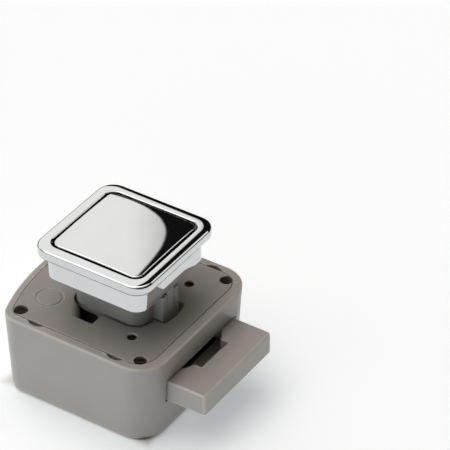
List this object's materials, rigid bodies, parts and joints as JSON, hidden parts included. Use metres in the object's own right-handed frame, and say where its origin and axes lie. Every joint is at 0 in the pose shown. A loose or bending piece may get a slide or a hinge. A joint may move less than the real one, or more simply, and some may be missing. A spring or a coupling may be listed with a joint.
{
  "type": "pushbutton cabinet lock",
  "caption": "Push-push furniture lock: moulded grey case with a sliding bolt, and a chromed square button in a frame that stands in front of the door panel.",
  "frame": {"origin": "on the button axis, in the plane of the case rim, which lies against the inside of the door", "axes": "+Z out through the door towards the button, +X the way the bolt comes out"},
  "size_m": [0.059, 0.047, 0.0431],
  "materials": {
    "case_plastic": "satin moulded grey plastic",
    "inner_plastic": "satin dark grey plastic",
    "bright_chrome": "bright chrome plate",
    "steel": "drawn spring steel"
  },
  "bodies": {
    "case": {"housing": "case_plastic", "cover": "case_plastic", "guide_tube": "case_plastic", "rosette": "bright_chrome", "return_spring_left": "steel", "return_spring_right": "steel", "latch_spring": "steel"},
    "button": {"button_cap": "bright_chrome", "plunger": "inner_plastic"},
    "slide_bolt": {"bolt": "case_plastic", "drive_pin_left": "steel", "drive_pin_right": "steel"},
    "follower": {"latch_wire": "steel"}
  },
  "joints": [
    {"name": "button_slide", "type": "slide", "parent": "case", "child": "button", "axis": [0, 0, 1], "range_m": [0, 0.0095], "deforming": ["return_spring_left", "return_spring_right"]},
    {"name": "bolt_slide", "type": "slide", "parent": "case", "child": "slide_bolt", "axis": [1, 0, 0], "range_m": [-0.0112, 0]},
    {"name": "follower_swing", "type": "hinge", "parent": "case", "child": "follower", "pos_m": [-0.009, 0, -0.0189], "axis": [1, 0, 0], "range_deg": [0, 6.7]}
  ],
  "couplings": [
    {"joint": "bolt_slide", "follows": "button_slide", "ratio": -1.1789},
    {"joint": "follower_swing", "follows": "button_slide", "rad_per_m": 12.29}
  ]
}
